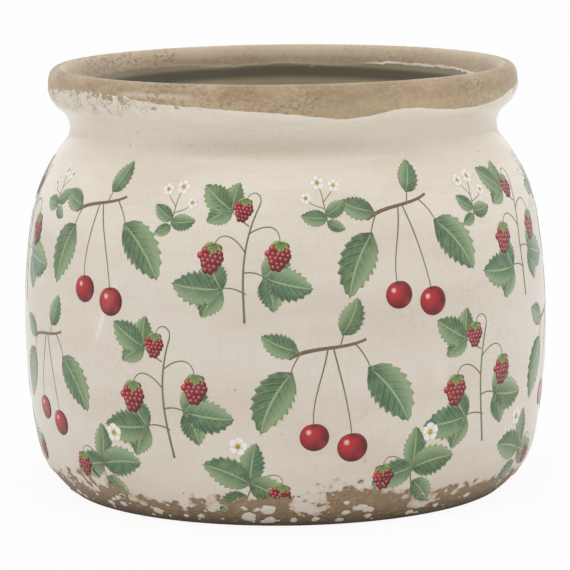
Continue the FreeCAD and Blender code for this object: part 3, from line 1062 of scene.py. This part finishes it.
# Middle of the fruit and its half-width, in millimetres
CHERRY_PAIR = ((-8, -12, 5.3), (5.5, -17.2, 5.6))
cherry_rings, cherry_columns = 5, 32
cherry_lift = 0.00007
cherry_patches = []
for where in sprigs:
    for x, y, half_width in CHERRY_PAIR if where["kind"] == "cherry" else ():
        turns = np.linspace(0, 2 * math.pi, cherry_columns + 1)
        dimple = 0.05 * np.exp(-(((turns - math.pi / 2) / 0.4) ** 2))
        outline = np.column_stack([np.cos(turns), np.sin(turns) * 0.96 - dimple])
        disc = np.vstack([outline * share for share in np.linspace(0, 1, cherry_rings + 1)])
        marks = np.column_stack([disc * (where["flip"], 1), np.zeros(len(disc))])
        points = on_glaze(np.array((x, y)) + disc * half_width, where)
        faces = ribbon(cherry_rings + 1, cherry_columns + 1)
        cherry_patches.append((points, faces, marks, cherry_lift))
cherries = films("printed_cherries", cherry_patches)

cherry_finish, tree, _, (across, up, _) = transfer_finish("printed_cherry")
from_light = distance_from(tree, across, up, -0.3, 0.3)
colour = mixed(tree, graded(tree, from_light, 0.2, 1.25), paint(184, 42, 44), paint(104, 14, 26))
glow = graded(tree, distance_from(tree, across, up, 0.5, -0.55), 0.45, 0.1, 0, 0.4)
colour = mixed(tree, glow, colour, paint(176, 58, 58))
stalk_end = graded(tree, distance_from(tree, across, up, 0.05, 0.9), 0.4, 0.05, 0, 0.8)
colour = mixed(tree, stalk_end, colour, paint(84, 12, 26))
highlight = graded(tree, distance_from(tree, across, up, -0.36, 0.36), 0.24, 0.08, 0, 0.85)
colour = mixed(tree, highlight, colour, paint(236, 196, 186))
dress(cherries, cherry_finish, colour)


# Printed blossoms. White flowers of five round petals with a yellow middle, on sprigs of their own
# between the fruit and singly on the runners. Each petal is a film.

# Middle of the flower and its half-width, in millimetres
BLOSSOMS = {
    "runner": [(9.6, 15.4, 4.6)],
    "blossom": [(0, 14, 5.4), (-10.8, 9.6, 4.6), (10.8, 5.6, 4.2)],
}
petal_lift, petal_step, heart_step = 0.00005, 0.000004, 0.00003
petal_count, petal_rows, heart_corners = 5, 8, 14
PETAL_SIDES = (-1, -0.5, 0, 0.5, 1)
blossom_patches = []
for where in sprigs:
    for order, (x, y, half_width) in enumerate(BLOSSOMS.get(where["kind"], ())):
        for petal in range(petal_count):
            way = math.radians(90 + 360 / petal_count * petal + 20 * order)
            along = np.array((math.cos(way), math.sin(way)))
            across = np.array((-along[1], along[0]))
            sheet, marks = [], []
            for t in np.linspace(0, 1, petal_rows):
                spread = 0.66 * math.sqrt(t) * math.sqrt(max(0, 1 - t**3))
                for side in PETAL_SIDES:
                    reach = half_width * (t - 0.10 * (1 - abs(side)) * t**3)
                    sheet.append(np.array((x, y)) + along * reach + across * spread * side * half_width)
                    marks.append((t, side, 0))
            faces = ribbon(petal_rows, len(PETAL_SIDES))
            lift = petal_lift + petal_step * petal
            blossom_patches.append((on_glaze(sheet, where), faces, marks, lift))
        turns = np.linspace(0, 2 * math.pi, heart_corners, endpoint=False)
        disc = np.column_stack([np.cos(turns), np.sin(turns)])
        points = on_glaze(np.array((x, y)) + disc * half_width * 0.26, where)
        marks = np.column_stack([disc, np.ones(len(disc))])
        blossom_patches.append((points, [tuple(range(len(disc)))], marks, petal_lift + heart_step))
blossoms = films("printed_blossoms", blossom_patches)

blossom_finish, tree, place, (along, side, heart) = transfer_finish("printed_blossom")
from_middle = worked(tree, "ABSOLUTE", side)
colour = mixed(tree, graded(tree, along, 0.6, 0.1), paint(243, 238, 231), paint(208, 206, 176))
edge = worked(tree, "MAXIMUM", graded(tree, from_middle, 0.75, 1.0), graded(tree, along, 0.86, 1.0))
colour = mixed(tree, times(tree, edge, 0.5), colour, paint(200, 190, 176))
pollen = graded(tree, cloudy(tree, place, 1500, 2), 0.4, 0.6)
pollen = mixed(tree, pollen, paint(222, 186, 70), paint(176, 130, 44))
colour = mixed(tree, heart, colour, pollen)
dress(blossoms, blossom_finish, colour)


# Stage. A pale floor that keeps the pot's shadow, under soft studio light from above and both sides.
# Two small lamps give the glaze its streak and spot. The camera stands in front and a little above.

floor_half, floor_whiteness = 12.0, 0.93
studio_light = 0.80
floor_mesh = bpy.data.meshes.new("floor")
corners = [(x * floor_half, y * floor_half, 0) for x, y in ((-1, -1), (1, -1), (1, 1), (-1, 1))]
floor_mesh.from_pydata(corners, [], [(0, 1, 2, 3)])
floor = bpy.data.objects.new("floor", floor_mesh)
bpy.context.scene.collection.objects.link(floor)
floor_finish, tree, shader = new_finish("pale_floor")
shader.inputs["Base Color"].default_value = (0.9, 0.9, 0.9, 1)
shader.inputs["Roughness"].default_value = 1.0
shader.inputs["Specular IOR Level"].default_value = 0.0
white = node(tree, "Emission", {"Color": (1, 1, 1, 1), "Strength": 1.0})[0]
seen = times(tree, node(tree, "LightPath", {})["Is Camera Ray"], floor_whiteness)
lit = node(tree, "MixShader", {0: seen, 1: shader.outputs[0], 2: white})[0]
tree.links.new(lit, tree.nodes["Material Output"].inputs["Surface"])
floor.data.materials.append(floor_finish)

world = bpy.data.worlds.new("studio")
bpy.context.scene.world = world
world.use_nodes = True
tree = world.node_tree
path = node(tree, "LightPath", {})
shown = worked(tree, "MAXIMUM", path["Is Camera Ray"], path["Is Glossy Ray"])
shown = worked(tree, "MAXIMUM", shown, path["Is Transmission Ray"])
strength = graded(tree, shown, 0, 1, studio_light, 1.0)
tree.links.new(strength, tree.nodes["Background"].inputs["Strength"])
tree.nodes["Background"].inputs["Color"].default_value = (1, 1, 1, 1)


def softbox(name, place, aim, size, power, lean=0.0):
    """A flat lamp that faces a point, turned about that way by lean."""
    light = bpy.data.lights.new(name, "AREA")
    light.shape = "RECTANGLE"
    light.size, light.size_y = size
    light.energy = power
    lamp = bpy.data.objects.new(name, light)
    lamp.location = place
    turned = (Vector(aim) - Vector(place)).to_track_quat("-Z", "Y").to_matrix()
    lamp.rotation_euler = (turned @ Euler((0, 0, lean)).to_matrix()).to_euler()
    bpy.context.scene.collection.objects.link(lamp)
    return lamp


softbox("top_softbox", (0, -0.75, 1.5), (0, 0, 0.10), (2.4, 0.6), 3.4)
for side in (-1, 1):
    panel = softbox("side_panel", (side, 0.25, 1.0), (0, 0, 0.12), (0.7, 0.7), 1.9)
    panel.visible_glossy = False
strip_place, strip_aim = (-0.459, -0.112, 0.052), (-0.065, -0.075, 0.078)
softbox("left_strip", strip_place, strip_aim, (0.006, 0.125), 0.010, math.radians(-46))
softbox("low_lamp", (0.239, -0.146, 0.012), (0.056, -0.083, 0.055), (0.03, 0.02), 0.002)

view_point = Vector((0, 0, 0.086))
view_distance = 1.30
view_elevation = math.radians(8.43)
view_drop = math.radians(0.457)
view_roll = math.radians(-0.64)
focal_pixels = 3386
image_pixels = 570
sensor_width = 36
lens = bpy.data.cameras.new("camera")
lens.sensor_width = sensor_width
lens.lens = focal_pixels / image_pixels * sensor_width
lens.clip_end = 100
camera = bpy.data.objects.new("camera", lens)
camera.location = view_point + view_distance * Vector(
    (0, -math.cos(view_elevation), math.sin(view_elevation))
)
aim = Euler((math.pi / 2 - view_elevation - view_drop, 0, 0)).to_matrix()
camera.rotation_euler = (aim @ Euler((0, 0, view_roll)).to_matrix()).to_euler()
bpy.context.scene.collection.objects.link(camera)
bpy.context.scene.camera = camera
bpy.context.scene.view_settings.view_transform = "Standard"
